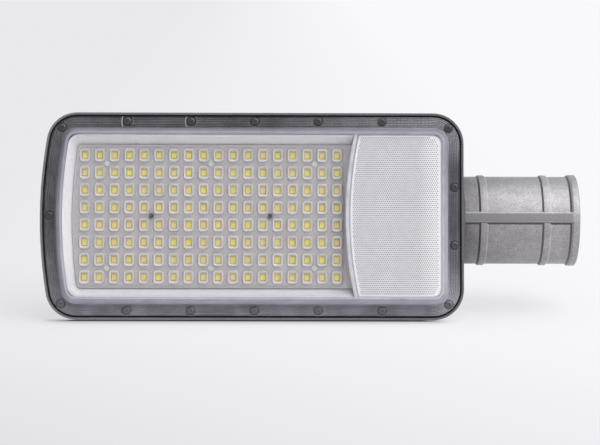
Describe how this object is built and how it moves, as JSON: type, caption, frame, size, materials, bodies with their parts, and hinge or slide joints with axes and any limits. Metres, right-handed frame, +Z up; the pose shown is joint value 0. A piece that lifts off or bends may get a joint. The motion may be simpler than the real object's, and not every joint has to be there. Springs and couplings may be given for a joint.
{
  "type": "led street light head",
  "caption": "Flat street light head: finned die-cast housing, clear cover over a lit board, white driver panel, round pole spigot.",
  "frame": {"origin": "centre of the spigot's mouth, on the axis of the pole socket", "axes": "+X along the pole socket, out of its mouth; +Z up as installed, with the light facing -Z; +Y completes a right-handed set"},
  "size_m": [0.424, 0.162, 0.1073],
  "materials": {
    "housing_paint": "satin grey powder coat on die-cast aluminium",
    "clear_cover": "clear moulded polycarbonate",
    "lens_plastic": "clear moulded acrylic",
    "black_rubber": "matt",
    "screw_steel": "dark zinc",
    "white_panel": "satin, fine raised dots",
    "white_skirt": "satin",
    "white_board": "white solder mask on aluminium",
    "phosphor": "yellow phosphor in a white frame",
    "white_nylon": "satin",
    "thermal_sheet": "matt",
    "cast_aluminium": "raw cast, fine granular skin",
    "steel": "zinc plated",
    "driver_aluminium": "extruded",
    "potting": "matt",
    "black_nylon": "satin",
    "grey_nylon": "satin",
    "brass": "plain",
    "lead_insulation": "satin"
  },
  "bodies": {
    "root": {"housing": "housing_paint", "lens_cover": "clear_cover", "cover_gasket": "black_rubber", "cover_screws": "screw_steel", "reflector_skirt": "white_skirt", "thermal_pad": "thermal_sheet", "led_board": "white_board", "led_packages": "phosphor", "board_connector": "white_nylon", "lens_plate": "lens_plastic", "lens_pins": "white_nylon", "board_screws": "screw_steel", "driver_panel": "white_panel", "driver_case": "driver_aluminium", "driver_core": "potting", "driver_end_caps": "black_nylon", "driver_screws": "steel", "terminal_block": "grey_nylon", "surge_arrester": "grey_nylon", "block_screws": "steel", "earth_screw": "brass", "earth_lug": "brass", "gland_body": "black_nylon", "gland_cap": "black_nylon", "gland_lock_nut": "black_nylon", "spigot": "cast_aluminium", "spigot_seal": "black_rubber", "spigot_bolts": "steel", "spigot_washers": "steel", "clamp_bolts": "steel", "clamp_nuts": "steel", "vent_plug": "black_nylon", "light_leads": "lead_insulation", "supply_leads": "lead_insulation"}
  },
  "joints": []
}
